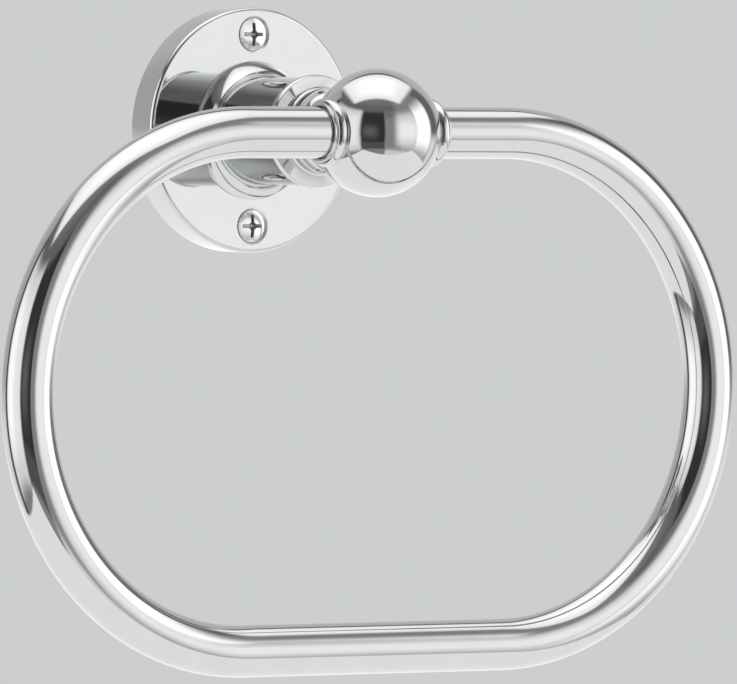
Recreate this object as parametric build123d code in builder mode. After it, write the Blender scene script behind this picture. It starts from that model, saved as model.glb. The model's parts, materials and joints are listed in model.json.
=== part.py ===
from build123d import *
from math import acos, degrees, sqrt
import os

# Towel ring: a round wall plate carries a turned post with a ball, and a bent tube ring swings in the ball.
# The wall is the plane Y = 0 with the room on its -Y side, +Z is up, and the ring's upper bar lies along X.
# The origin is the centre of the plate's back. All sizes are in millimetres.

# Ring: one bent tube with straight upper and lower bars and half-round ends
tube_diameter = 12.0
tube_wall = 1.2
ring_straight = 73.0
ring_bend_radius = 59.5
bar_reach = 59.0

# Ball with a collar on each side: a wide bead and a thinner lip around the bore that the tube turns in
ball_diameter = 29.8
bore_web = 8.0
swing_clearance = 0.08
tube_end_clearance = 0.3
collar_wall = 1.2
collar_root_width = 0.1
collar_bead_width = 2.6
collar_bead_rise = 0.7
collar_lip_width = 0.7
collar_lip_wall = 0.72
collar_lip_round = 0.2
bore_mouth_chamfer = 0.2

# Wall plate: a flat disc, with a bare band around the post's foot for the two wall screws
plate_band = 12.5
plate_thickness = 8.6
plate_front_round = 0.9
plate_back_chamfer = 0.4

# Post, from the plate outwards: hollowed foot, fine lip, long neck, flange, cove, bead, groove, step, stem
lip_diameter = 26.4
foot_overhang = 3.0
foot_height = 2.9
foot_edge = 0.3
foot_hollow = 0.24
lip_width = 0.9
lip_rise = 0.4
neck_hollow = 0.25
flange_diameter = 26.5
flange_width = 1.9
flange_rise = 0.35
cove_length = 0.45
cove_hollow = 0.03
bead_diameter = 21.0
bead_width = 2.2
bead_rise = 0.3
groove_width = 0.25
groove_depth = 0.35
step_diameter = 20.2
step_width = 2.05
step_round = 0.3
stem_diameter = 13.0
stem_length = 5.6
stem_flare = 2.6
stem_hollow = 0.7

# Screwed joints inside: a countersunk screw holds the post to the plate, a stud holds the ball to the post
joint_thread = 6.0
thread_clearance = 0.05
seat_clearance = 0.05
hole_bottom_gap = 0.6
post_screw_head = 11.3
post_screw_sink = 0.4
post_screw_length = 16.0
post_screw_land = 0.3
post_screw_socket = 4.0
post_screw_socket_depth = 2.2
stud_in_post = 8.0
stud_in_ball = 6.0
stud_chamfer = 0.6
stud_socket = 3.0
stud_socket_depth = 3.0

# Wall screws: raised countersunk heads, just below the plate's face, with a cross recess and a rolled thread
screw_count = 2
screw_head = 7.6
screw_head_sink = 0.4
screw_head_land = 0.1
screw_dome = 0.6
screw_shank = 3.2
screw_thread = 4.2
screw_hole_clearance = 0.2
screw_length = 30.0
screw_point = 6.5
recess_span = 5.7
recess_slot = 0.9
recess_star = 2.0
recess_depth = 2.2
recess_foot_span = 3.6

# Sizes worked out from those above
tube_radius = tube_diameter / 2
ball_radius = ball_diameter / 2
bore_radius = tube_radius + swing_clearance
collar_root_radius = bore_radius + collar_wall
collar_start = sqrt(ball_radius**2 - collar_root_radius**2)
collar_bead_start = collar_start + collar_root_width
collar_bead_end = collar_bead_start + collar_bead_width
collar_end = collar_bead_end + collar_lip_width
collar_lip_radius = bore_radius + collar_lip_wall
bore_depth = collar_end - bore_web / 2
tube_end = bore_web / 2 + tube_end_clearance

lip_radius = lip_diameter / 2
foot_radius = lip_radius + foot_overhang
plate_radius = foot_radius + plate_band
screw_circle_radius = foot_radius + plate_band / 2

stem_radius = stem_diameter / 2
seat_distance = sqrt(ball_radius**2 - stem_radius**2)
post_length = bar_reach - plate_thickness - seat_distance
flange_radius = flange_diameter / 2
bead_radius = bead_diameter / 2
step_radius = step_diameter / 2
groove_radius = step_radius - groove_depth
lip_end = foot_height + lip_width
step_end = post_length - stem_length
step_start = step_end - step_width
bead_end = step_start - groove_width
bead_start = bead_end - bead_width
flange_end = bead_start - cove_length
flange_start = flange_end - flange_width

tapped_radius = joint_thread / 2 + thread_clearance
thread_radius = joint_thread / 2
post_screw_reach = post_screw_sink + post_screw_length - plate_thickness
screw_hole_radius = screw_thread / 2 + screw_hole_clearance
right_angle = 90
half_turn = 2 * right_angle
hexagon_sides = 6
size_match = 0.001
seat_offset = seat_clearance * sqrt(2)

# Planes: turned profiles are drawn with the radius along the first axis and the length along the second
room_face = Plane.XZ.offset(plate_thickness)
wall_face = Plane((0, 0, 0), x_dir=(1, 0, 0), z_dir=(0, 1, 0))
post_section = Plane((0, -plate_thickness, 0), x_dir=(1, 0, 0), z_dir=(0, 0, -1))
wall_section = Plane((0, 0, 0), x_dir=(1, 0, 0), z_dir=(0, 0, 1))
ball_section = Plane((0, -bar_reach, 0), x_dir=(0, 0, 1), z_dir=(0, 1, 0))
bar_axis = Axis((0, -bar_reach, 0), (1, 0, 0))
ball_seat = Plane((0, seat_distance - bar_reach, 0), x_dir=(1, 0, 0), z_dir=(0, 1, 0))
post_front = Plane((0, seat_distance - bar_reach, 0), x_dir=(1, 0, 0), z_dir=(0, -1, 0))
post_back = Plane((0, -plate_thickness, 0), x_dir=(1, 0, 0), z_dir=(0, 1, 0))


def bead(root, start, width, rise):
    """Rounded bead on a turned profile: it starts and ends at the root radius and stands up by its rise."""
    return ThreePointArc((root, start), (root + rise, start + width / 2), (root, start + width))


def circles(piece, radius):
    """The round edges of a piece that have this radius."""
    round_edges = piece.edges().filter_by(GeomType.CIRCLE)
    return round_edges.filter_by(lambda edge: abs(edge.radius - radius) < size_match)


os.makedirs("parts", exist_ok=True)

# Wall plate: holes for the wall screws are sunk from the front, the post screw's hole from the back
with BuildPart() as wall_plate:
    with BuildSketch(Plane.XZ):
        Circle(plate_radius)
    extrude(amount=plate_thickness)
    fillet(wall_plate.edges().group_by(Axis.Y)[0], plate_front_round)
    chamfer(wall_plate.edges().group_by(Axis.Y)[-1], plate_back_chamfer)
    with Locations(room_face):
        with PolarLocations(screw_circle_radius, screw_count, start_angle=right_angle):
            CounterSinkHole(
                screw_hole_radius,
                screw_head / 2 + screw_head_land + screw_head_sink + seat_offset,
                counter_sink_angle=right_angle,
            )
    with Locations(wall_face):
        CounterSinkHole(
            tapped_radius,
            post_screw_head / 2 + post_screw_sink + post_screw_land + seat_offset,
            counter_sink_angle=right_angle,
        )
wall_plate.part.label = "wall_plate"
export_step(wall_plate.part, "parts/wall_plate.step")

# Post: one turning, seated flat on the plate and on a flat at the back of the ball, tapped at both ends
with BuildPart() as post:
    with BuildSketch(post_section):
        with BuildLine():
            Polyline((0, 0), (foot_radius, 0), (foot_radius, foot_edge))
            ThreePointArc(
                (foot_radius, foot_edge),
                ((foot_radius + lip_radius) / 2 - foot_hollow, (foot_edge + foot_height) / 2 - foot_hollow),
                (lip_radius, foot_height),
            )
            Line((lip_radius, foot_height), (lip_radius - lip_rise, foot_height))
            bead(lip_radius - lip_rise, foot_height, lip_width, lip_rise)
            neck_root = lip_radius - lip_rise
            flange_root = flange_radius - flange_rise
            ThreePointArc(
                (neck_root, lip_end),
                ((neck_root + flange_root) / 2 - neck_hollow, (lip_end + flange_start) / 2),
                (flange_root, flange_start),
            )
            bead(flange_root, flange_start, flange_width, flange_rise)
            bead_root = bead_radius - bead_rise
            ThreePointArc(
                (flange_root, flange_end),
                ((flange_root + bead_root) / 2 - cove_hollow, (flange_end + bead_start) / 2 - cove_hollow),
                (bead_root, bead_start),
            )
            bead(bead_root, bead_start, bead_width, bead_rise)
            Polyline(
                (bead_root, bead_end),
                (groove_radius, bead_end),
                (groove_radius, step_start),
                (step_radius, step_start),
                (step_radius, step_end),
                (stem_radius + stem_flare, step_end),
            )
            ThreePointArc(
                (stem_radius + stem_flare, step_end),
                (stem_radius + stem_flare / 2 - stem_hollow, step_end + stem_length / 2),
                (stem_radius, post_length),
            )
            Polyline((stem_radius, post_length), (0, post_length), (0, 0))
        make_face()
    revolve(axis=Axis.Y)
    fillet(circles(post, step_radius), step_round)
    with Locations(post_back):
        Hole(tapped_radius, depth=post_screw_reach + hole_bottom_gap)
    with Locations(post_front):
        Hole(tapped_radius, depth=stud_in_post + hole_bottom_gap)
post.part.label = "post"
export_step(post.part, "parts/post.step")

# Post screw: countersunk machine screw with a hexagon socket, sunk below the plate's back
with BuildPart() as post_screw:
    with BuildSketch(wall_section):
        with BuildLine():
            head_top = -post_screw_sink
            land_end = head_top - post_screw_land
            cone_end = land_end - (post_screw_head / 2 - thread_radius)
            tip = head_top - post_screw_length
            Polyline(
                (0, head_top),
                (post_screw_head / 2, head_top),
                (post_screw_head / 2, land_end),
                (thread_radius, cone_end),
                (thread_radius, tip + stud_chamfer),
                (thread_radius - stud_chamfer, tip),
                (0, tip),
                (0, head_top),
            )
        make_face()
    revolve(axis=Axis.Y)
    with BuildSketch(wall_face.offset(head_top)):
        RegularPolygon(post_screw_socket / 2, hexagon_sides, major_radius=False)
    extrude(amount=-post_screw_socket_depth, mode=Mode.SUBTRACT)
post_screw.part.label = "post_screw"
export_step(post_screw.part, "parts/post_screw.step")

# Ball: turned about the bar's axis with its two collars, bored from both sides, flat and tapped at the back
with BuildPart() as ball:
    with BuildSketch(ball_section):
        with BuildLine():
            Line((0, 0), (ball_radius, 0))
            CenterArc((0, 0), ball_radius, 0, degrees(acos(collar_root_radius / ball_radius)))
            Line((collar_root_radius, collar_start), (collar_root_radius, collar_bead_start))
            bead(collar_root_radius, collar_bead_start, collar_bead_width, collar_bead_rise)
            Polyline(
                (collar_root_radius, collar_bead_end),
                (collar_lip_radius, collar_bead_end),
                (collar_lip_radius, collar_end),
                (0, collar_end),
                (0, 0),
            )
        make_face()
    revolve(axis=bar_axis)
    mirror(about=Plane.YZ)
    fillet(circles(ball, collar_lip_radius), collar_lip_round)
    split(bisect_by=ball_seat, keep=Keep.BOTTOM)
    right_mouth = Plane((collar_end, -bar_reach, 0), x_dir=(0, 1, 0), z_dir=(1, 0, 0))
    left_mouth = Plane((-collar_end, -bar_reach, 0), x_dir=(0, 1, 0), z_dir=(-1, 0, 0))
    with Locations(right_mouth, left_mouth):
        Hole(bore_radius, depth=bore_depth)
    bore_rims = circles(ball, bore_radius).sort_by(Axis.X)
    chamfer((bore_rims[0], bore_rims[-1]), bore_mouth_chamfer)
    with Locations(ball_seat):
        Hole(tapped_radius, depth=stud_in_ball + hole_bottom_gap)
ball.part.label = "ball"
export_step(ball.part, "parts/ball.step")

# Ball stud: headless, half in the post and half in the ball, with a hexagon socket at its post end
with BuildPart() as ball_stud:
    with BuildSketch(post_front.offset(stud_in_ball)):
        Circle(thread_radius)
    extrude(amount=-(stud_in_ball + stud_in_post))
    chamfer(ball_stud.edges().filter_by(GeomType.CIRCLE), stud_chamfer)
    with BuildSketch(post_front.offset(-stud_in_post)):
        RegularPolygon(stud_socket / 2, hexagon_sides, major_radius=False)
    extrude(amount=stud_socket_depth, mode=Mode.SUBTRACT)
ball_stud.part.label = "ball_stud"
export_step(ball_stud.part, "parts/ball_stud.step")

# Ring: one tube bent round from one side of the ball to the other, its open ends inside the two bores
with BuildPart() as ring:
    with BuildLine(Plane.XZ.offset(bar_reach)) as ring_path:
        half_straight = ring_straight / 2
        lower_bar = -2 * ring_bend_radius
        Line((tube_end, 0), (half_straight, 0))
        CenterArc((half_straight, -ring_bend_radius), ring_bend_radius, right_angle, -half_turn)
        Line((half_straight, lower_bar), (-half_straight, lower_bar))
        CenterArc((-half_straight, -ring_bend_radius), ring_bend_radius, -right_angle, -half_turn)
        Line((-half_straight, 0), (-tube_end, 0))
    with BuildSketch(Plane((tube_end, -bar_reach, 0), x_dir=(0, 1, 0), z_dir=(1, 0, 0))):
        Circle(tube_radius)
        Circle(tube_radius - tube_wall, mode=Mode.SUBTRACT)
    sweep(path=ring_path.line)
ring.part.label = "ring"
export_step(ring.part, "parts/ring.step")

# Wall screws: the upper one is turned and recessed, and the lower one is its mirror image
with BuildPart() as wall_screws:
    screw_section = Plane((0, 0, screw_circle_radius), x_dir=(1, 0, 0), z_dir=(0, 0, 1))
    with BuildSketch(screw_section):
        with BuildLine():
            rim = screw_head_sink - plate_thickness
            land = rim + screw_head_land
            shank_start = land + (screw_head - screw_shank) / 2
            thread_run_out = -(screw_thread - screw_shank) / 2
            point_end = rim + screw_length
            Line((0, point_end), (0, rim - screw_dome))
            TangentArc((0, rim - screw_dome), (screw_head / 2, rim), tangent=(1, 0))
            Polyline(
                (screw_head / 2, rim),
                (screw_head / 2, land),
                (screw_shank / 2, shank_start),
                (screw_shank / 2, thread_run_out),
                (screw_thread / 2, 0),
                (screw_thread / 2, point_end - screw_point),
                (0, point_end),
            )
        make_face()
    revolve(axis=Axis((0, 0, screw_circle_radius), (0, 1, 0)))
    recess_top = Plane((0, rim - screw_dome, screw_circle_radius), x_dir=(1, 0, 0), z_dir=(0, -1, 0))
    with BuildSketch(recess_top):
        Rectangle(recess_span, recess_slot)
        Rectangle(recess_slot, recess_span)
        Rectangle(recess_star, recess_star, rotation=right_angle / 2)
    with BuildSketch(recess_top.offset(-recess_depth)):
        shrink = recess_foot_span / recess_span
        Rectangle(recess_foot_span, recess_slot * shrink)
        Rectangle(recess_slot * shrink, recess_foot_span)
        Rectangle(recess_star * shrink, recess_star * shrink, rotation=right_angle / 2)
    loft(mode=Mode.SUBTRACT)
    mirror(about=Plane.XY)
wall_screws.part.label = "wall_screws"
export_step(wall_screws.part, "parts/wall_screws.step")
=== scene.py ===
# %% [markdown]
# # A chrome towel ring, dressed for its picture
# The object is a round wall plate, a turned post with a ball, and a bent tube ring that swings in
# the ball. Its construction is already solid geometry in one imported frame, and this lesson gives
# it the looks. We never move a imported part. Where a mirror finish needs a finer mesh, we make a
# new piece in the same place.

# %% Load the frame
import cmath
import json
import math

import bmesh
import bpy
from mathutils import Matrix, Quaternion, Vector


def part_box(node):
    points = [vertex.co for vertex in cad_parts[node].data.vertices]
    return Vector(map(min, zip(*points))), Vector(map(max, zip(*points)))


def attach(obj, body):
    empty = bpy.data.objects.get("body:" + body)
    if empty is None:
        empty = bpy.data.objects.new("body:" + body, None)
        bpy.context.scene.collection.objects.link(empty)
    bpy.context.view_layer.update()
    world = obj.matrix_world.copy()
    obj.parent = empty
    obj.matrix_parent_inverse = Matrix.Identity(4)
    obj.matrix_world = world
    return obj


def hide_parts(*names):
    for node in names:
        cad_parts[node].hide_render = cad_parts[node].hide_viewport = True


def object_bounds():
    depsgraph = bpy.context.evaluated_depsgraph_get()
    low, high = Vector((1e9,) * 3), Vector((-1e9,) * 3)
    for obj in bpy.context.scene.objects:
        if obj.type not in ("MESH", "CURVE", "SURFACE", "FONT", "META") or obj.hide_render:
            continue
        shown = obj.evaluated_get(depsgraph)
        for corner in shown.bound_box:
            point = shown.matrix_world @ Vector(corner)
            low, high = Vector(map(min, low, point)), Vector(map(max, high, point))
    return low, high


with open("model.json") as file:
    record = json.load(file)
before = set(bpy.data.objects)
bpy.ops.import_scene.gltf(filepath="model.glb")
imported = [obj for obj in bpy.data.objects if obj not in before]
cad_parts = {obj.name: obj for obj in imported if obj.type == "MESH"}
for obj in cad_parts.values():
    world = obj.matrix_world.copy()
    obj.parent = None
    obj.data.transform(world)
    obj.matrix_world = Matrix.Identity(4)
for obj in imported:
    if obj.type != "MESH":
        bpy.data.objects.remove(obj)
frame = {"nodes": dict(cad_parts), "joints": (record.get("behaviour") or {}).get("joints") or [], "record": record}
cad_low, cad_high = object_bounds()
mm = 0.001
print("CAD box in mm:", [round(v / mm, 1) for v in (*cad_low, *cad_high)])

# %% [markdown]
# ## Sizes
# Every piece must sit where its solid sits, so the main sizes are read from the frame instead of
# typed again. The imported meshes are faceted, so a reading is rounded to the tenth of a millimetre
# it was drawn at. Lengths stay in millimetres, as on a drawing, and the factor mm turns them to
# Blender's metres.

# %% Read the main sizes
def drawn(length):
    """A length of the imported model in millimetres, as it was drawn."""
    return round(length / mm, 1)


plate_low, plate_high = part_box("wall_plate")
_, ball_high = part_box("ball")
ring_low, ring_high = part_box("ring")
_, screws_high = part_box("wall_screws")
wall_fixing = frame["record"]["mounts"][0]["dims"]

plate_radius = drawn(plate_high.x)
plate_thickness = drawn(-plate_low.y)
bar_reach = drawn(-frame["joints"][0]["pos_m"][1])
ball_radius = drawn(ball_high.z)
collar_end = drawn(ball_high.x)
tube_radius = drawn(ring_high.y - ring_low.y) / 2
bend_radius = drawn(ring_high.z - ring_low.z) / 2 - tube_radius
half_straight = drawn(ring_high.x) - tube_radius - bend_radius
screw_count = wall_fixing["count"]
screw_circle_radius = wall_fixing["pcd_mm"] / 2
screw_head_radius = drawn(screws_high.x)
screw_tip = drawn(screws_high.y)
print("plate radius", plate_radius, "bar reach", bar_reach, "ball radius", ball_radius)
print("tube radius", tube_radius, "bend radius", bend_radius, "half straight", half_straight)

# %% [markdown]
# ## Nodes
# Materials, the studio and the modelling trees are all node trees. One small function adds a
# node: settings go to the node itself, and each input takes a value or a link. A Mix node has
# sockets of the same name for every kind of data, so those are picked by their numbers.

# %% Add a node
number_a, number_b, mixed_number = 2, 3, 0
colour_a, colour_b, mixed_colour = 6, 7, 2


def add(tree, kind, inputs=None, **settings):
    """Adds one node with its settings. An input is given a value, or the socket that feeds it."""
    node = tree.nodes.new(kind)
    for name, value in settings.items():
        setattr(node, name, value)
    for key, value in (inputs or {}).items():
        if isinstance(value, bpy.types.NodeSocket):
            tree.links.new(value, node.inputs[key])
        else:
            node.inputs[key].default_value = value
    return node


def linear(hex_colour):
    """An sRGB hex colour as linear red, green and blue, with alpha."""
    shares = [int(hex_colour[k : k + 2], 16) / 255 for k in (0, 2, 4)]
    return [s / 12.92 if s <= 0.04045 else ((s + 0.055) / 1.055) ** 2.4 for s in shares] + [1.0]


print("middle grey 808080 in linear:", [round(v, 3) for v in linear("808080")])

# %% [markdown]
# ## Finishes
# The plate, post, ball and ring are brass, buffed and then plated with nickel and a thin bright
# chrome. Chrome has almost no colour of its own. What the eye reads is the room, so the material
# is a metal with a very low roughness. Buffing leaves a faint waviness and a haze that comes and
# goes, and both are drawn with noise. An image texture could do this, but noise needs no file and
# keeps its size in millimetres.

# %% Mix the chrome
def new_material(name):
    """A new material with an empty tree.

    Returns the material, its tree and the socket that gives the place on the object.
    """
    material = bpy.data.materials.new(name)
    material.use_nodes = True
    tree = material.node_tree
    tree.nodes.clear()
    return material, tree, add(tree, "ShaderNodeTexCoord").outputs["Object"]


def metal(name, light, dark, smooth, rough, haze_mm, wave_mm, wave_height_mm):
    """A bare metal: tint and gloss drift over the haze size, and the surface waves a little."""
    haze_detail, wave_detail = 4.0, 1.0
    haze_low, haze_high = 0.3, 0.7
    material, tree, place = new_material(name)
    blotches = {"Vector": place, "Scale": 1 / (haze_mm * mm), "Detail": haze_detail}
    haze = add(tree, "ShaderNodeTexNoise", blotches).outputs["Fac"]
    tints = {"Factor": haze, colour_a: linear(dark), colour_b: linear(light)}
    tint = add(tree, "ShaderNodeMix", tints, data_type="RGBA").outputs[mixed_colour]
    gloss = {"From Min": haze_low, "From Max": haze_high, "To Min": smooth, "To Max": rough}
    roughness = add(tree, "ShaderNodeMapRange", {"Value": haze, **gloss}).outputs[0]
    swells = {"Vector": place, "Scale": 1 / (wave_mm * mm), "Detail": wave_detail}
    height = add(tree, "ShaderNodeTexNoise", swells).outputs["Fac"]
    wave = add(tree, "ShaderNodeBump", {"Height": height, "Distance": wave_height_mm * mm})
    look = {"Base Color": tint, "Metallic": 1.0, "Roughness": roughness, "Normal": wave.outputs[0]}
    shader = add(tree, "ShaderNodeBsdfPrincipled", look)
    add(tree, "ShaderNodeOutputMaterial", {"Surface": shader.outputs[0]})
    return material


# Bright chrome plate on buffed brass: a clear mirror that keeps over half of the light, with a
# barely seen haze
chrome = metal(
    "polished chrome plate",
    light="C9CACB",
    dark="C0C2C3",
    smooth=0.03,
    rough=0.05,
    haze_mm=7.0,
    wave_mm=9.0,
    wave_height_mm=0.003,
)
print("chrome:", chrome.name, "with", len(chrome.node_tree.nodes), "nodes")

# %% [markdown]
# The fasteners are steel, formed cold and never buffed, so their metals blur what they mirror.
# The wall screws are chromed to go with the plate. The screw and the stud inside have the common
# zinc plate. The same function mixes all three metals, because only their tones, gloss and grain
# differ.

# %% Mix the fasteners' metals
# Chrome plate on formed steel: brighter than zinc, but blurred because the blank wasn't buffed
screw_chrome = metal(
    "chrome plate on formed steel",
    light="D8D9DA",
    dark="CACBCC",
    smooth=0.10,
    rough=0.18,
    haze_mm=1.2,
    wave_mm=1.6,
    wave_height_mm=0.003,
)
# Bright zinc plate on steel: greyer and bluer, with a soft satin gloss
zinc = metal(
    "bright zinc plate on steel",
    light="A9ADB1",
    dark="949A9F",
    smooth=0.24,
    rough=0.36,
    haze_mm=1.5,
    wave_mm=1.0,
    wave_height_mm=0.006,
)
print("fasteners:", screw_chrome.name, "and", zinc.name)

# %% [markdown]
# No buffing wheel reaches into a drilled hole or a punched recess, and hardly any plating does.
# Faces that a cutter leaves carry a mark, an attribute of the mesh, and the metals turn rougher, with
# less gloss, and take another tone where the mark is set. In the screws' cross recess that tone is
# darker than the screw, and this darker tone is painted shade. A second material on those faces would
# do as well, but with a mark each piece keeps to one material.

# %% Dull what is left as cut, with painted shade in the screws' recess
cut_mark = "as_cut"


def dull_and_tone(material, tone, roughness):
    """Gives a metal this tone and roughness on the faces that are left as cut."""
    tree = material.node_tree
    shader = tree.nodes["Principled BSDF"]
    colour, gloss = shader.inputs["Base Color"], shader.inputs["Roughness"]
    mark = add(tree, "ShaderNodeAttribute", attribute_name=cut_mark).outputs["Fac"]
    tones = {"Factor": mark, colour_a: colour.links[0].from_socket, colour_b: linear(tone)}
    toned = add(tree, "ShaderNodeMix", tones, data_type="RGBA").outputs[mixed_colour]
    tree.links.new(toned, colour)
    degrees = {"Factor": mark, number_a: gloss.links[0].from_socket, number_b: roughness}
    roughened = add(tree, "ShaderNodeMix", degrees).outputs[mixed_number]
    tree.links.new(roughened, gloss)


dull_and_tone(chrome, tone="DCDCDC", roughness=0.4)
# In the screws' cross recess this darker tone is painted shade, on top of the real loss of gloss.
dull_and_tone(screw_chrome, tone="CACACA", roughness=0.5)
print("left as cut: duller on", chrome.name, "and", screw_chrome.name)

# %% [markdown]
# ## Turned outlines
# The plate, the post and the ball are turned on a lathe, so each is one outline carried round an
# axis. A point of an outline is a radius and a distance along the axis. Straight stretches are
# two points, and arcs are drawn as runs of short steps.

# %% Draw arcs, beads and rounded corners
arc_steps, corner_steps = 16, 8


def arc(start, through, end, steps=arc_steps):
    """Points of the round stretch that starts, passes through and ends at three points."""
    a, b, c = complex(*start), complex(*through), complex(*end)
    ratio = (c - a) / (b - a)
    centre = a + (b - a) * (ratio - abs(ratio) ** 2) / (2j * ratio.imag)
    first, second = (b - centre) / (a - centre), (c - centre) / (b - centre)
    sweep = cmath.phase(first) + cmath.phase(second)
    turns = [cmath.exp(1j * sweep * k / steps) for k in range(steps + 1)]
    points = [centre + (a - centre) * turn for turn in turns]
    return [(p.real, p.imag) for p in points]


def bead(root, start, width, rise):
    """A rounded bead that stands up from the root radius by its rise."""
    return arc((root, start), (root + rise, start + width / 2), (root, start + width))


def rounded(before, corner, after, radius):
    """A square corner between two straight stretches, rounded to a radius."""
    corner = Vector(corner)
    back = (Vector(before) - corner).normalized()
    onward = (Vector(after) - corner).normalized()
    centre = corner + (back + onward) * radius
    middle = centre - (back + onward).normalized() * radius
    return arc(corner + back * radius, middle, corner + onward * radius, corner_steps)


print("a half circle has", len(arc((1, 0), (0, 1), (-1, 0))), "points")

# %% [markdown]
# Where two runs of an outline meet, polishing has rounded the edge a little, and that small round
# is what catches the light. A Bevel modifier could round every edge of the finished piece. It is
# done on the outline instead, so that the round stays even all the way about the axis.

# %% Polish the corners of an outline
polished_edge = 0.12
shortest_share = 0.2
places_on_round = (0.25, 0.5, 0.75)


def beyond(run, distance):
    """The part of a run that lies beyond this distance from its start."""
    points = [Vector(p) for p in run]
    while len(points) > 2 and (points[1] - points[0]).length <= distance:
        distance -= (points[1] - points[0]).length
        points.pop(0)
    points[0] = points[0] + (points[1] - points[0]).normalized() * distance
    return points


def polish(runs, closed=False):
    """Joins the runs of an outline and rounds the corners between them."""
    trimmed = []
    for k, run in enumerate(runs):
        length = sum((Vector(q) - Vector(p)).length for p, q in zip(run, run[1:]))
        cut = min(polished_edge, shortest_share * length)
        points = beyond(run, cut) if closed or k > 0 else [Vector(p) for p in run]
        if closed or k < len(runs) - 1:
            points = beyond(points[::-1], cut)[::-1]
        if len(run) == 2:
            step = (points[1] - points[0]).normalized() * cut
            points[1:1] = [points[0] + step, points[1] - step]
        trimmed.append(points)
    outline = []
    for k, points in enumerate(trimmed):
        outline += points
        if closed or k < len(trimmed) - 1:
            corner = Vector(runs[k][-1])
            following = trimmed[(k + 1) % len(trimmed)][0]
            for t in places_on_round:
                outline.append(points[-1].lerp(corner, t).lerp(corner.lerp(following, t), t))
    return outline


print("edges are polished to about", polished_edge, "mm")

# %% [markdown]
# ## The lathe
# A Screw modifier would carry an outline round an axis. Here we place the rings of vertices
# ourselves, because a mirror shows every uneven face: the rings stay even, a point on the axis
# closes to one vertex, and the solid is closed.

# %% Turn
full_turn = 2 * math.pi
turned_sides = 192


def about_post(radius, along, angle):
    """A place on a piece turned about the post: the distance along is measured from the wall."""
    return Vector((radius * math.sin(angle), -along, radius * math.cos(angle))) * mm


def about_bar(radius, along, angle):
    """A place on a piece turned about the ring's upper bar, measured from the bar's middle."""
    return Vector((along, radius * math.cos(angle) - bar_reach, radius * math.sin(angle))) * mm


def add_piece(name, mesh):
    """A new object of this mesh, at the origin."""
    piece = bpy.data.objects.new(name, mesh)
    bpy.context.scene.collection.objects.link(piece)
    return piece


def turn(name, outline, place, closed=False, sides=turned_sides, start=0.0):
    """A piece turned from an outline, which is solid if that is closed or ends on the axis.

    The start is the place of the first corner, as a share of one side.
    """
    on_axis = 1e-6
    angles = [full_turn * (start + k) / sides for k in range(sides)]
    bm = bmesh.new()
    rings = []
    for radius, along in outline:
        stops = angles[:1] if radius < on_axis else angles
        rings.append([bm.verts.new(place(radius, along, angle)) for angle in stops])
    following = rings[1:] + rings[:1] if closed else rings[1:]
    for ring, beside in zip(rings, following):
        for k in range(sides):
            here = (ring[k % len(ring)], ring[(k + 1) % len(ring)])
            there = (beside[(k + 1) % len(beside)], beside[k % len(beside)])
            bm.faces.new(dict.fromkeys(here + there))
    bmesh.ops.recalc_face_normals(bm, faces=bm.faces)
    mesh = bpy.data.meshes.new(name)
    bm.to_mesh(mesh)
    bm.free()
    mesh.shade_smooth()
    return add_piece(name, mesh)


print("a turned piece has", turned_sides, "sides")

# %% [markdown]
# Holes that don't share the axis are drilled afterwards with an exact Boolean. The cutters start
# half a side round, because a corner that falls right on an edge of the piece can leave a gap.
# Their faces carry the mark, and the Boolean hands it on to the faces that they leave.

# %% Drill
half_side = 0.5
crisp_edge = math.radians(30)


def settle(piece):
    """Turns a piece and its modifiers into a plain mesh with soft curves and crisp edges."""
    shaped = piece.evaluated_get(bpy.context.evaluated_depsgraph_get())
    mesh = bpy.data.meshes.new_from_object(shaped)
    piece.modifiers.clear()
    piece.data = mesh
    mesh.set_sharp_from_angle(angle=crisp_edge)


def drill(piece, *cutters):
    """Takes the cutters' shapes out of a piece, and marks the faces that they leave."""
    for cutter in cutters:
        mark = cutter.data.attributes.new(cut_mark, "FLOAT", "FACE")
        mark.data.foreach_set("value", [1.0] * len(cutter.data.polygons))
        hole = piece.modifiers.new("hole", "BOOLEAN")
        hole.object = cutter
        hole.solver = "EXACT"
    settle(piece)
    for cutter in cutters:
        bpy.data.objects.remove(cutter)


print("edges sharper than", round(math.degrees(crisp_edge)), "degrees stay crisp")

# %% [markdown]
# ## Wall plate
# A flat turned disc with a softly rounded front edge. Its centre hole is sunk from behind for the
# screw that holds the post, and two sunk holes take the wall screws. The disc is turned, and only
# the two outer holes are drilled.

# %% Turn the wall plate
plate_front_round = 0.9
plate_back_chamfer = 0.4
tapped_radius = 3.05
post_screw_sink_radius = 6.42

face_end = plate_radius - plate_front_round - polished_edge
side_start = plate_thickness - plate_front_round - polished_edge
front_corner = (plate_radius, plate_thickness)
plate_rim = (
    [(tapped_radius, plate_thickness), (face_end, plate_thickness)]
    + rounded((0, plate_thickness), front_corner, (plate_radius, 0), plate_front_round)
    + [(plate_radius, side_start), (plate_radius, plate_back_chamfer)]
)
plate_back = plate_radius - plate_back_chamfer
sink_depth = post_screw_sink_radius - tapped_radius
plate_outline = polish(
    [
        plate_rim,
        [(plate_radius, plate_back_chamfer), (plate_back, 0)],
        [(plate_back, 0), (post_screw_sink_radius, 0)],
        [(post_screw_sink_radius, 0), (tapped_radius, sink_depth)],
        [(tapped_radius, sink_depth), (tapped_radius, plate_thickness)],
    ],
    closed=True,
)
wall_plate = turn("chrome_wall_plate", plate_outline, about_post, closed=True)
print("plate:", len(plate_outline), "points in the outline")

# %% Drill the wall plate
screw_sink_radius = 4.37
screw_hole_radius = 2.3
screw_hole_sides = 64
cutter_overlap = 1.0


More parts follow.
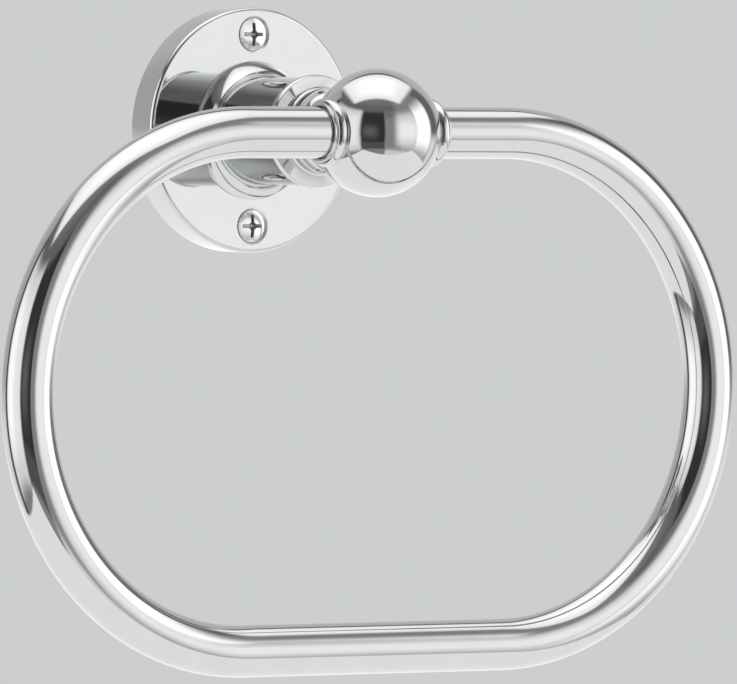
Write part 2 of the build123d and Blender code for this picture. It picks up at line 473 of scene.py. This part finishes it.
def screw_hole(height):
    """The shape of one sunk screw hole, to be taken out of the plate at this height."""
    front = plate_thickness
    sink_end = front - (screw_sink_radius - screw_hole_radius)
    outline = [
        (0, front + cutter_overlap),
        (screw_sink_radius + cutter_overlap, front + cutter_overlap),
        (screw_hole_radius, sink_end),
        (screw_hole_radius, -cutter_overlap),
        (0, -cutter_overlap),
    ]
    cutter = turn("hole", outline, about_post, sides=screw_hole_sides, start=half_side)
    cutter.location.z = height * mm
    return cutter


drill(wall_plate, screw_hole(screw_circle_radius), screw_hole(-screw_circle_radius))
print("wall plate:", len(wall_plate.data.polygons), "faces")

# %% [markdown]
# ## Post
# One turning: a hollowed foot on the plate, a fine lip, a long neck, a flange, a short cove, a
# wide bead, a fine groove, a rounded step, and a flared stem that meets the ball. The outline
# follows the same sizes as the solid, and the tapped holes at both ends are part of it, so
# nothing has to be drilled.

# %% Place the post's forms along its axis
lip_radius, lip_width, lip_rise = 13.2, 0.9, 0.4
foot_radius, foot_height, foot_edge, foot_hollow = 16.2, 2.9, 0.3, 0.24
neck_hollow = 0.25
flange_radius, flange_width, flange_rise = 13.25, 1.9, 0.35
cove_length, cove_hollow = 0.45, 0.03
bead_radius, bead_width, bead_rise = 10.5, 2.2, 0.3
groove_width, groove_depth = 0.25, 0.35
step_radius, step_width, step_round = 10.1, 2.05, 0.3
stem_radius, stem_length, stem_flare, stem_hollow = 6.5, 5.6, 2.6, 0.7
back_hole_depth, front_hole_depth = 8.4, 8.6

seat = bar_reach - math.sqrt(ball_radius**2 - stem_radius**2)
foot_start = plate_thickness + foot_edge
foot_end = plate_thickness + foot_height
lip_end = foot_end + lip_width
step_end = seat - stem_length
step_start = step_end - step_width
bead_end = step_start - groove_width
bead_start = bead_end - bead_width
flange_end = bead_start - cove_length
flange_start = flange_end - flange_width
back_hole_end = plate_thickness + back_hole_depth
front_hole_end = seat - front_hole_depth
print("post: from", plate_thickness, "to", round(seat, 2), "mm off the wall")

# %% Turn the post
foot_steps, neck_steps = 24, 40

lip_root = lip_radius - lip_rise
flange_root = flange_radius - flange_rise
bead_root = bead_radius - bead_rise
groove_radius = step_radius - groove_depth
flare_radius = stem_radius + stem_flare


def hollow(start, end, inward, backward=0.0, steps=arc_steps):
    """An arc between two points whose middle is drawn in to the axis and back to the wall."""
    middle = ((start[0] + end[0]) / 2 - inward, (start[1] + end[1]) / 2 - backward)
    return arc(start, middle, end, steps)


foot_run = hollow(
    (foot_radius, foot_start), (lip_radius, foot_end), foot_hollow, foot_hollow, foot_steps
)
neck_run = hollow((lip_root, lip_end), (flange_root, flange_start), neck_hollow, steps=neck_steps)
cove_run = hollow((flange_root, flange_end), (bead_root, bead_start), cove_hollow, cove_hollow)
stem_run = hollow((flare_radius, step_end), (stem_radius, seat), stem_hollow)
step_face = (
    [(groove_radius, step_start)]
    + rounded((0, step_start), (step_radius, step_start), (step_radius, step_end), step_round)
    + rounded((step_radius, step_start), (step_radius, step_end), (0, step_end), step_round)
    + [(flare_radius, step_end)]
)
post_outline = polish(
    [
        [(0, back_hole_end), (tapped_radius, back_hole_end)],
        [(tapped_radius, back_hole_end), (tapped_radius, plate_thickness)],
        [(tapped_radius, plate_thickness), (foot_radius, plate_thickness)],
        [(foot_radius, plate_thickness), (foot_radius, foot_start)],
        foot_run,
        [(lip_radius, foot_end), (lip_root, foot_end)],
        bead(lip_root, foot_end, lip_width, lip_rise),
        neck_run,
        bead(flange_root, flange_start, flange_width, flange_rise),
        cove_run,
        bead(bead_root, bead_start, bead_width, bead_rise),
        [(bead_root, bead_end), (groove_radius, bead_end)],
        [(groove_radius, bead_end), (groove_radius, step_start)],
        step_face,
        stem_run,
        [(stem_radius, seat), (tapped_radius, seat)],
        [(tapped_radius, seat), (tapped_radius, front_hole_end)],
        [(tapped_radius, front_hole_end), (0, front_hole_end)],
    ]
)
post = turn("chrome_post", post_outline, about_post)
print("post:", len(post.data.polygons), "faces")

# %% [markdown]
# ## Ball
# The ball is turned about the ring's bar, with a wide bead and a thin lip on each side where the
# tube goes in. A UV sphere would put its poles in plain sight. Turned about the bar, the poles
# fall inside the two bores. The flat that seats on the post and the tapped hole behind it lie
# across that axis, so they are drilled.

# %% Turn the ball
swing_clearance, bore_mouth_chamfer, half_web = 0.08, 0.2, 4.0
collar_wall, collar_root_width = 1.2, 0.1
collar_bead_width, collar_bead_rise = 2.6, 0.7
collar_lip_wall, collar_lip_round = 0.72, 0.2
ball_steps = 96

bore_radius = tube_radius + swing_clearance
collar_radius = bore_radius + collar_wall
collar_start = math.sqrt(ball_radius**2 - collar_radius**2)
collar_bead_start = collar_start + collar_root_width
collar_bead_end = collar_bead_start + collar_bead_width
collar_lip_radius = bore_radius + collar_lip_wall
mouth_radius = bore_radius + bore_mouth_chamfer
bore_start = collar_end - bore_mouth_chamfer
bead_foot = (collar_radius, collar_bead_end)
collar_lip_root = (collar_lip_radius, collar_bead_end)
collar_lip_edge = (collar_lip_radius, collar_end)
collar_lip = (
    [bead_foot]
    + rounded(bead_foot, collar_lip_root, collar_lip_edge, collar_lip_round)
    + rounded(collar_lip_root, collar_lip_edge, (0, collar_end), collar_lip_round)
    + [(mouth_radius, collar_end)]
)
right_collar = [
    [(collar_radius, collar_start), (collar_radius, collar_bead_start)],
    bead(collar_radius, collar_bead_start, collar_bead_width, collar_bead_rise),
    collar_lip,
    [(mouth_radius, collar_end), (bore_radius, bore_start)],
    [(bore_radius, bore_start), (bore_radius, half_web)],
    [(bore_radius, half_web), (0, half_web)],
]
left_collar = [[(radius, -along) for radius, along in run[::-1]] for run in right_collar[::-1]]
ball_left, ball_right = (collar_radius, -collar_start), (collar_radius, collar_start)
round_of_ball = arc(ball_left, (ball_radius, 0), ball_right, ball_steps)
ball = turn("chrome_ball", polish(left_collar + [round_of_ball] + right_collar), about_bar)
print("ball: collars end", collar_end, "mm from its middle")

# %% Drill the ball
ball_hole_depth = 6.6
seat_sides = 96

seat_radius = stem_radius + cutter_overlap
seat_cutter_start = seat - stem_length / 2
seat_cutter = [
    (0, seat + ball_hole_depth),
    (tapped_radius, seat + ball_hole_depth),
    (tapped_radius, seat),
    (seat_radius, seat),
    (seat_radius, seat_cutter_start),
    (0, seat_cutter_start),
]
drill(ball, turn("seat", seat_cutter, about_post, sides=seat_sides, start=half_side))
print("ball:", len(ball.data.polygons), "faces")

# %% [markdown]
# ## Ring
# The ring is one tube, bent round to a straight top and bottom with half-round ends. Its shape
# follows a rule, so Geometry Nodes make it: a route of six corners is filleted with the bend
# radius and swept with a round profile. A Bezier curve with a bevel would look alike, but here
# every size stays a named input. The wall of the tube comes from a Solidify modifier.

# %% Build the bent tube tree
def new_tree(name, sockets):
    """An empty Geometry Nodes tree with these named inputs. Returns the tree and its inputs."""
    tree = bpy.data.node_groups.new(name, "GeometryNodeTree")
    for label, kind in sockets.items():
        tree.interface.new_socket(label, in_out="INPUT", socket_type=kind)
    tree.interface.new_socket("Result", in_out="OUTPUT", socket_type="NodeSocketGeometry")
    return tree, add(tree, "NodeGroupInput").outputs


def finish_tree(tree, geometry, finish):
    """Ends a tree: instances become real geometry and get their material."""
    real = add(tree, "GeometryNodeRealizeInstances", {"Geometry": geometry}).outputs[0]
    worn = add(tree, "GeometryNodeSetMaterial", {"Geometry": real, "Material": finish}).outputs[0]
    add(tree, "NodeGroupOutput", {"Result": worn})


points_per_bend = 180

bent_tube, given = new_tree(
    "bent tube",
    {
        "Route": "NodeSocketGeometry",
        "Bend radius": "NodeSocketFloat",
        "Tube radius": "NodeSocketFloat",
        "Step": "NodeSocketFloat",
        "Sides": "NodeSocketInt",
        "Finish": "NodeSocketMaterial",
    },
)
route = add(bent_tube, "GeometryNodeMeshToCurve", {"Mesh": given["Route"]}).outputs[0]
bending = {"Curve": route, "Count": points_per_bend, "Radius": given["Bend radius"]}
bends = add(bent_tube, "GeometryNodeFilletCurve", bending, mode="POLY").outputs[0]
stepping = {"Curve": bends, "Length": given["Step"]}
steps = add(bent_tube, "GeometryNodeResampleCurve", stepping, mode="LENGTH").outputs[0]
rounding = {"Resolution": given["Sides"], "Radius": given["Tube radius"]}
profile = add(bent_tube, "GeometryNodeCurvePrimitiveCircle", rounding).outputs[0]
sweeping = {"Curve": steps, "Profile Curve": profile}
tube = add(bent_tube, "GeometryNodeCurveToMesh", sweeping).outputs[0]
finish_tree(bent_tube, tube, given["Finish"])
print("bent tube tree:", len(bent_tube.nodes), "nodes")

# %% Bend the ring
tube_wall, tube_end_clearance = 1.2, 0.3
tube_step, tube_sides = 2.0, 80
wall_inward = -1


def run_tree(piece, tree, values):
    """Puts a tree on a piece and sets its named inputs by their identifiers."""
    modifier = piece.modifiers.new(tree.name, "NODES")
    modifier.node_group = tree
    for socket in tree.interface.items_tree:
        if socket.name in values:
            modifier[socket.identifier] = values[socket.name]


tube_end = half_web + tube_end_clearance
half_width = half_straight + bend_radius
lower_bar = -2 * bend_radius
route_corners = [
    (tube_end, 0),
    (half_width, 0),
    (half_width, lower_bar),
    (-half_width, lower_bar),
    (-half_width, 0),
    (-tube_end, 0),
]
route_points = [Vector((x, -bar_reach, z)) * mm for x, z in route_corners]
route_edges = [(k, k + 1) for k in range(len(route_corners) - 1)]
route_mesh = bpy.data.meshes.new("chrome_ring")
route_mesh.from_pydata(route_points, route_edges, [])
ring = add_piece("chrome_ring", route_mesh)
run_tree(
    ring,
    bent_tube,
    {
        "Bend radius": bend_radius * mm,
        "Tube radius": tube_radius * mm,
        "Step": tube_step * mm,
        "Sides": tube_sides,
        "Finish": chrome,
    },
)
wall = ring.modifiers.new("tube wall", "SOLIDIFY")
wall.thickness = tube_wall * mm
wall.offset = wall_inward
settle(ring)
ring.data.shade_smooth()
print("ring:", len(ring.data.polygons), "faces")

# %% [markdown]
# ## Wall screws
# Two raised countersunk screws hold the plate: a low dome with a cross recess in front, and a
# rolled thread that stands out behind. Both are alike, so one is made on the plate's axis and
# placed twice. Its head and shank are turned on the same lathe as the post, and are left open
# where the thread begins.

# %% Form a screw's head
screw_dome, screw_head_land, screw_head_sink = 0.6, 0.1, 0.4
shank_radius, run_out = 1.6, 0.5
thread_sides, head_sides_per_thread_side = 28, 4
dome_steps = 24

head_front = plate_thickness - screw_head_sink
head_sides = thread_sides * head_sides_per_thread_side
left_rim, right_rim = (-screw_head_radius, head_front), (screw_head_radius, head_front)
dome = arc(left_rim, (0, head_front + screw_dome), right_rim, 2 * dome_steps)
land_end = (screw_head_radius, head_front - screw_head_land)
cone_end = (shank_radius, land_end[1] - (screw_head_radius - shank_radius))
head_outline = polish(
    [
        dome[dome_steps:],
        [right_rim, land_end],
        [land_end, cone_end],
        [cone_end, (shank_radius, run_out)],
    ]
)
screw = turn("screw", head_outline, about_post, sides=head_sides)
print("screw's head:", len(screw.data.polygons), "faces")

# %% [markdown]
# A thread is a ridge that climbs one pitch each turn. A Screw modifier could wind a profile, but
# then the thread would neither start softly nor taper. Here each row of vertices is one small
# step of the climb, and the faces are split along the ridge, so that its crest stays sharp.

# %% Roll its thread
thread_root, thread_pitch = 1.45, 1.8
thread_crest = wall_fixing["stud_r_mm"]
ridge_place, ridge_half_width = 0.5, 0.3
screw_point = 6.5


def thread_radius(along, angle):
    """The screw's radius in its thread, which starts softly and tapers to the point."""
    climb = along / thread_pitch + angle / full_turn
    ridge = max(0.0, 1 - abs(climb % 1 - ridge_place) / ridge_half_width)
    start = min(1.0, -along / thread_pitch)
    taper = min(1.0, (along + screw_tip) / screw_point)
    return taper * (thread_root + start * ridge * (thread_crest - thread_root))


def roll_thread(head):
    """Carries the shank of a turned head on into the thread, down to the point."""
    bm = bmesh.new()
    bm.from_mesh(head.data)
    bm.verts.ensure_lookup_table()
    shank = bm.verts[-head_sides:]
    step = thread_pitch / thread_sides
    angles = [full_turn * i / thread_sides for i in range(thread_sides)]
    rows = []
    for k in range(int(screw_tip / step)):
        along = -k * step
        rows.append([bm.verts.new(about_post(thread_radius(along, a), along, a)) for a in angles])
    tip = bm.verts.new(about_post(0, -screw_tip, 0))
    for i in range(thread_sides):
        n = (i + 1) % thread_sides
        first = i * head_sides_per_thread_side
        edge = [shank[(first + j) % head_sides] for j in range(head_sides_per_thread_side + 1)]
        bm.faces.new([rows[0][n], rows[0][i], *edge])
        for row, lower in zip(rows, rows[1:]):
            bm.faces.new((row[i], row[n], lower[n]))
            bm.faces.new((row[i], lower[n], lower[i]))
        bm.faces.new((rows[-1][i], rows[-1][n], tip))
    bmesh.ops.recalc_face_normals(bm, faces=bm.faces)
    bm.to_mesh(head.data)
    bm.free()
    head.data.shade_smooth()


roll_thread(screw)
print("screw with its thread:", len(screw.data.polygons), "faces")

# %% [markdown]
# The cross recess is punched with a tapered tool. Two crossed wedges would need two cuts that
# meet inside each other, so the cutter is one solid: an outline of four arms around a star, drawn
# at its mouth and again, smaller, at its foot.

# %% Punch the recess
recess_span, recess_slot, recess_star, recess_arms = 5.7, 0.9, 2.0, 4
recess_depth, recess_foot_span = 2.2, 3.6


def cross_recess():
    """The tapered cross of the recess, as a cutter that stands out of the screw's head."""
    shrink = recess_foot_span / recess_span
    grow = 1 + (1 - shrink) * cutter_overlap / recess_depth
    top = head_front + screw_dome
    arm, half_slot = recess_span / 2, recess_slot / 2
    knee = recess_star / math.sqrt(2) - half_slot
    one_arm = [(arm, half_slot), (knee, half_slot), (half_slot, knee), (half_slot, arm)]
    outline = [complex(*point) * 1j**k for k in range(recess_arms) for point in one_arm]
    bm = bmesh.new()
    levels = []
    for along, size in ((top + cutter_overlap, grow), (top - recess_depth, shrink)):
        places = [Vector((p.real * size, -along, p.imag * size)) * mm for p in outline]
        levels.append([bm.verts.new(place) for place in places])
    mouth, foot = levels
    bm.faces.new(mouth)
    bm.faces.new(foot[::-1])
    for k in range(len(outline)):
        bm.faces.new((mouth[k - 1], foot[k - 1], foot[k], mouth[k]))
    bmesh.ops.recalc_face_normals(bm, faces=bm.faces)
    mesh = bpy.data.meshes.new("recess")
    bm.to_mesh(mesh)
    bm.free()
    return add_piece("recess", mesh)


drill(screw, cross_recess())
print("screw with its recess:", len(screw.data.polygons), "faces")

# %% [markdown]
# ## Placing the screws
# The holes sit evenly on a circle, so the screws are instances on points: one point for each
# hole, turned round the circle by its index. With another count or circle the same tree would
# still fill every hole.

# %% Set the screws on their circle
screw_circle, given = new_tree(
    "screws on a circle",
    {
        "Blank": "NodeSocketGeometry",
        "Screw": "NodeSocketObject",
        "Count": "NodeSocketInt",
        "Circle radius": "NodeSocketFloat",
        "Finish": "NodeSocketMaterial",
    },
)
index = add(screw_circle, "GeometryNodeInputIndex").outputs[0]
sharing = {0: index, 1: given["Count"]}
share = add(screw_circle, "ShaderNodeMath", sharing, operation="DIVIDE").outputs[0]
turning = {0: share, 1: full_turn}
angle = add(screw_circle, "ShaderNodeMath", turning, operation="MULTIPLY").outputs[0]
sine = add(screw_circle, "ShaderNodeMath", {0: angle}, operation="SINE").outputs[0]
cosine = add(screw_circle, "ShaderNodeMath", {0: angle}, operation="COSINE").outputs[0]
spoke = add(screw_circle, "ShaderNodeCombineXYZ", {"X": sine, "Z": cosine}).outputs[0]
reaching = {0: spoke, "Scale": given["Circle radius"]}
hole = add(screw_circle, "ShaderNodeVectorMath", reaching, operation="SCALE").outputs[0]
marking = {"Count": given["Count"], "Position": hole}
points = add(screw_circle, "GeometryNodePoints", marking).outputs[0]
source = add(screw_circle, "GeometryNodeObjectInfo", {"Object": given["Screw"]})
placing = {"Points": points, "Instance": source.outputs["Geometry"]}
placed = add(screw_circle, "GeometryNodeInstanceOnPoints", placing).outputs[0]
finish_tree(screw_circle, placed, given["Finish"])

wall_screws = add_piece("chrome_wall_screws", bpy.data.meshes.new("chrome_wall_screws"))
run_tree(
    wall_screws,
    screw_circle,
    {
        "Screw": screw,
        "Count": screw_count,
        "Circle radius": screw_circle_radius * mm,
        "Finish": screw_chrome,
    },
)
settle(wall_screws)
bpy.data.objects.remove(screw)
print("wall screws:", len(wall_screws.data.polygons), "faces")

# %% [markdown]
# ## Riding on the bodies
# Each new piece takes the place of its solid and moves with the same body. The screw behind the
# plate and the stud inside the ball have the right shape already, so they stay as packed and only
# get their zinc finish.

# %% Dress and attach the pieces
for piece, node, body in (
    (wall_plate, "wall_plate", "bracket"),
    (post, "post", "bracket"),
    (ball, "ball", "bracket"),
    (ring, "ring", "ring"),
):
    piece.data.materials.clear()
    piece.data.materials.append(chrome)
    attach(piece, body)
    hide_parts(node)
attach(wall_screws, "bracket")
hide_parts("wall_screws")
for node in ("post_screw", "ball_stud"):
    frame["nodes"][node].material_slots[0].material = zinc

# %% [markdown]
# ## Floor
# The floor is matte paper, with no gloss at all. Under an even light it looks the same near and
# far, so it runs into a background of the same tone without a visible edge. A curved backdrop
# would do the same for one view, but a flat floor suits every view.

# %% Mix the paper
# Uncoated paper: matte and even, with pale fibres that only just show
paper_tone, fibre_tone = "CED0D2", "CACCCE"
fibre_mm, fibre_detail = 1.5, 3.0

paper, tree, place = new_material("matte studio paper")
fibres = {"Vector": place, "Scale": 1 / (fibre_mm * mm), "Detail": fibre_detail}
fibre = add(tree, "ShaderNodeTexNoise", fibres).outputs["Fac"]
tones = {"Factor": fibre, colour_a: linear(fibre_tone), colour_b: linear(paper_tone)}
tone = add(tree, "ShaderNodeMix", tones, data_type="RGBA").outputs[mixed_colour]
matte = {"Base Color": tone, "Roughness": 1.0, "Specular IOR Level": 0.0}
sheet = add(tree, "ShaderNodeBsdfPrincipled", matte).outputs[0]
add(tree, "ShaderNodeOutputMaterial", {"Surface": sheet})
print("paper:", paper.name)

# %% Lay the floor
floor_gap = 30.0 * mm
floor_size = 40.0

floor_height = cad_low.z - floor_gap
half_floor = floor_size / 2
corner_signs = ((-1, -1), (1, -1), (1, 1), (-1, 1))
floor_corners = [(x * half_floor, y * half_floor, floor_height) for x, y in corner_signs]
floor_mesh = bpy.data.meshes.new("floor")
floor_mesh.from_pydata(floor_corners, [], [range(len(floor_corners))])
floor_mesh.materials.append(paper)
floor = add_piece("floor", floor_mesh)
floor.visible_glossy = False
print("floor at", round(floor_height / mm, 1), "mm")

# %% [markdown]
# ## Camera
# The picture is taken from the object's left, almost level, with a very long lens, so that the
# ring hardly tapers. The place is worked out from the point it looks at, its distance and its
# three angles.

# %% Set the camera
view_azimuth, view_elevation, view_roll = (math.radians(a) for a in (-35.06, 1.46, 0.49))
view_distance = 2769.6
aim = Vector((-1.84, -bar_reach, -48.3)) * mm
picture_width = 737
focal_pixels = 12000
sensor_width = 36.0

level_part = math.cos(view_elevation)
back = Vector(
    (
        math.sin(view_azimuth) * level_part,
        -math.cos(view_azimuth) * level_part,
        math.sin(view_elevation),
    )
)
camera_data = bpy.data.cameras.new("camera")
camera = bpy.data.objects.new("camera", camera_data)
bpy.context.scene.collection.objects.link(camera)
camera_data.sensor_width = sensor_width
camera_data.lens = sensor_width * focal_pixels / picture_width
camera.rotation_mode = "QUATERNION"
level = (-back).to_track_quat("-Z", "Y")
level.rotate(Quaternion(back, view_roll))
camera.rotation_quaternion = level
camera.location = aim + back * view_distance * mm
bpy.context.scene.camera = camera
print("camera at", [round(v, 3) for v in camera.location], "lens", round(camera_data.lens, 1), "mm")

# %% [markdown]
# ## Studio
# A mirror has no look of its own, so the studio is half of the finish. A large box lights from
# above, pale screens stand on both sides with a bright strip box on the right, and between them
# the room is dark, with a pale floor. Area lights and cards could stand in for all this, but they
# would get in the way of the other views. Painted on the World by direction, the panels light the
# metal from far away and hide nothing.
# A direction is read in degrees: its azimuth to the right of the camera, and its elevation. What
# lies flat overhead or underneath is read as on a map, sideways and towards the camera.

# %% Read the directions
bpy.context.scene.view_settings.view_transform = "Standard"
world = bpy.data.worlds.new("studio")
bpy.context.scene.world = world
world.use_nodes = True
world.cycles.sampling_method = "NONE"
sky = world.node_tree
sky.nodes.clear()

table_turn = math.radians(161)

toward = add(sky, "ShaderNodeTexCoord").outputs["Generated"]
to_camera = {"Vector": toward, "Rotation": (0, 0, -view_azimuth)}
facing = add(sky, "ShaderNodeMapping", to_camera).outputs[0]
side, away, height = add(sky, "ShaderNodeSeparateXYZ", {0: facing}).outputs
near = add(sky, "ShaderNodeMath", {0: away, 1: -1.0}, operation="MULTIPLY").outputs[0]
azimuth = add(sky, "ShaderNodeMath", {0: side, 1: near}, operation="ARCTAN2").outputs[0]
azimuth = add(sky, "ShaderNodeMath", {0: azimuth}, operation="DEGREES").outputs[0]
elevation = add(sky, "ShaderNodeMath", {0: height}, operation="ARCSINE").outputs[0]
elevation = add(sky, "ShaderNodeMath", {0: elevation}, operation="DEGREES").outputs[0]
map_side = add(sky, "ShaderNodeMath", {0: side, 1: height}, operation="DIVIDE").outputs[0]
map_near = add(sky, "ShaderNodeMath", {0: near, 1: height}, operation="DIVIDE").outputs[0]
map_place = add(sky, "ShaderNodeCombineXYZ", {0: map_side, 1: map_near}).outputs[0]
to_table = {"Vector": map_place, "Rotation": (0, 0, -table_turn)}
table = add(sky, "ShaderNodeMapping", to_table).outputs[0]
table_side, table_front, _ = add(sky, "ShaderNodeSeparateXYZ", {0: table}).outputs
print("directions:", len(sky.nodes), "nodes")

# %% [markdown]
# A panel shows where every reading of a direction lies between two edges. Each is painted over
# those before it, in a tone, and a band gives a reading, its two edges and how soft they are.

# %% Hang a panel
def between(value, low, high, soft):
    """1 where a value lies between two edges and 0 outside, with edges this soft."""
    rise = {"Value": value, "From Min": low - soft, "From Max": low + soft}
    fall = {"Value": value, "From Min": high + soft, "From Max": high - soft}
    up = add(sky, "ShaderNodeMapRange", rise, interpolation_type="SMOOTHSTEP").outputs[0]
    down = add(sky, "ShaderNodeMapRange", fall, interpolation_type="SMOOTHSTEP").outputs[0]
    return add(sky, "ShaderNodeMath", {0: up, 1: down}, operation="MULTIPLY").outputs[0]


def hang(room, tone, *bands):
    """Paints one panel over the room: it shows where every band's value is between its edges."""
    mask = between(*bands[0])
    for band in bands[1:]:
        both = {0: mask, 1: between(*band)}
        mask = add(sky, "ShaderNodeMath", both, operation="MULTIPLY").outputs[0]
    layers = {"Factor": mask, colour_a: room, colour_b: linear(tone)}
    return add(sky, "ShaderNodeMix", layers, data_type="RGBA").outputs[mixed_colour]


bare_room = "5E5E5E"

room = add(sky, "ShaderNodeRGB").outputs[0]
room.default_value = linear(bare_room)
print("tone of the bare room:", bare_room)

# %% Hang the panels
endless = 400
wall_top = 44
door_left, door_right = -28, 15
screen_start, screen_end = 17, 112
below = (height, -endless, -0.1, 0.02)
above = (height, 0.2, endless, 0.02)

# Grey ground all round
room = hang(room, "7C7C7C", below)
# Dark ceiling, a little lighter over the right screen
room = hang(room, "707070", (elevation, 50, endless, 7))
room = hang(room, "7C7C7C", (azimuth, 40, 106, 8), (elevation, 36, 56, 4))
# Wall behind the object, paler towards the floor
wall_height = (elevation, -endless, wall_top, 2)
room = hang(room, "9C9C9C", (azimuth, -endless, -103, 2), wall_height)
room = hang(room, "A6A6A6", (azimuth, -endless, -134, 10), wall_height)
room = hang(room, "A6A6A6", (azimuth, 138, endless, 6), wall_height)
room = hang(room, "D0D0D0", (near, -endless, -0.4, 0.1), (elevation, -endless, -3, 6))
# Left screen, brighter in the middle and at its back edge, with a dark stand behind it
room = hang(room, "444444", (azimuth, -109, -96, 2), (elevation, -45, 42, 6))
room = hang(room, "CCCCCC", (azimuth, -97, -31, 4), (elevation, -30, 39, 4))
room = hang(room, "E4E4E4", (azimuth, -94, -35, 6), (elevation, -20, 30, 8))
room = hang(room, "FAFAFA", (azimuth, -93, -64, 10), (elevation, -16, 26, 10))
# Dark doorway in front, a little lighter inside
room = hang(room, "303030", (azimuth, door_left, door_right, 2), (elevation, -27, 37, 4))
room = hang(room, "585858", (azimuth, -24, 0, 9), (elevation, -7, 12, 9))
room = hang(room, "4C4C4C", (azimuth, door_left, door_right, 3), (elevation, -27, -16, 3))
# Right screen, grey towards the doorway and below, and a bright strip box at its back edge
room = hang(room, "A2A2A2", (azimuth, screen_start, screen_end, 3), (elevation, -42, -14, 4))
room = hang(room, "C8C8C8", (azimuth, screen_start, screen_end, 3), (elevation, -42, -30, 3))
room = hang(room, "7E7E7E", (azimuth, door_right, 48, 2), (elevation, -27, 36, 5))
room = hang(room, "6A6A6A", (azimuth, door_right, 48, 3), (elevation, 26, 36, 5))
room = hang(room, "C2C2C2", (azimuth, 38, 78, 10), (elevation, -22, 33, 8))
room = hang(room, "E8E8E8", (azimuth, 38, 78, 10), (elevation, -13, 20, 12))
room = hang(room, "FFFFFF", (azimuth, 77, 113, 4), (elevation, -19, 35, 10))
# Pale table top under the object, and a large box lamp over it with a bright middle
room = hang(room, "DADADA", below, (table_front, -9, 1.26, 0.03), (table_side, -1.29, 1.74, 0.04))
room = hang(room, "EAEAEA", above, (map_side, -0.78, 0.76, 0.1), (map_near, -0.78, 0.49, 0.07))
room = hang(room, "FFFFFF", above, (map_side, -0.5, 0.45, 0.2), (map_near, -0.5, 0.3, 0.15))
print("panels:", len(sky.nodes), "nodes")

# %% [markdown]
# Only mirror rays see the panels, and see them brighter than painted, to make up for the light
# that the chrome takes away. Matte paper sees an even white sky, and the camera sees the paper's
# own tone.

# %% Choose what each ray sees
chrome_loss = 1.77

ray = add(sky, "ShaderNodeLightPath").outputs
panels = add(sky, "ShaderNodeBackground", {"Color": room, "Strength": chrome_loss}).outputs[0]
even = add(sky, "ShaderNodeBackground", {"Color": linear("FFFFFF")}).outputs[0]
mean_tone = [(a + b) / 2 for a, b in zip(linear(paper_tone), linear(fibre_tone))]
backdrop = add(sky, "ShaderNodeBackground", {"Color": mean_tone}).outputs[0]
plain = {0: ray["Is Camera Ray"], 1: even, 2: backdrop}
seen = add(sky, "ShaderNodeMixShader", plain).outputs[0]
mirrored = {0: ray["Is Glossy Ray"], 1: seen, 2: panels}
lit = add(sky, "ShaderNodeMixShader", mirrored).outputs[0]
add(sky, "ShaderNodeOutputWorld", {"Surface": lit})
print("studio:", len(sky.nodes), "nodes")
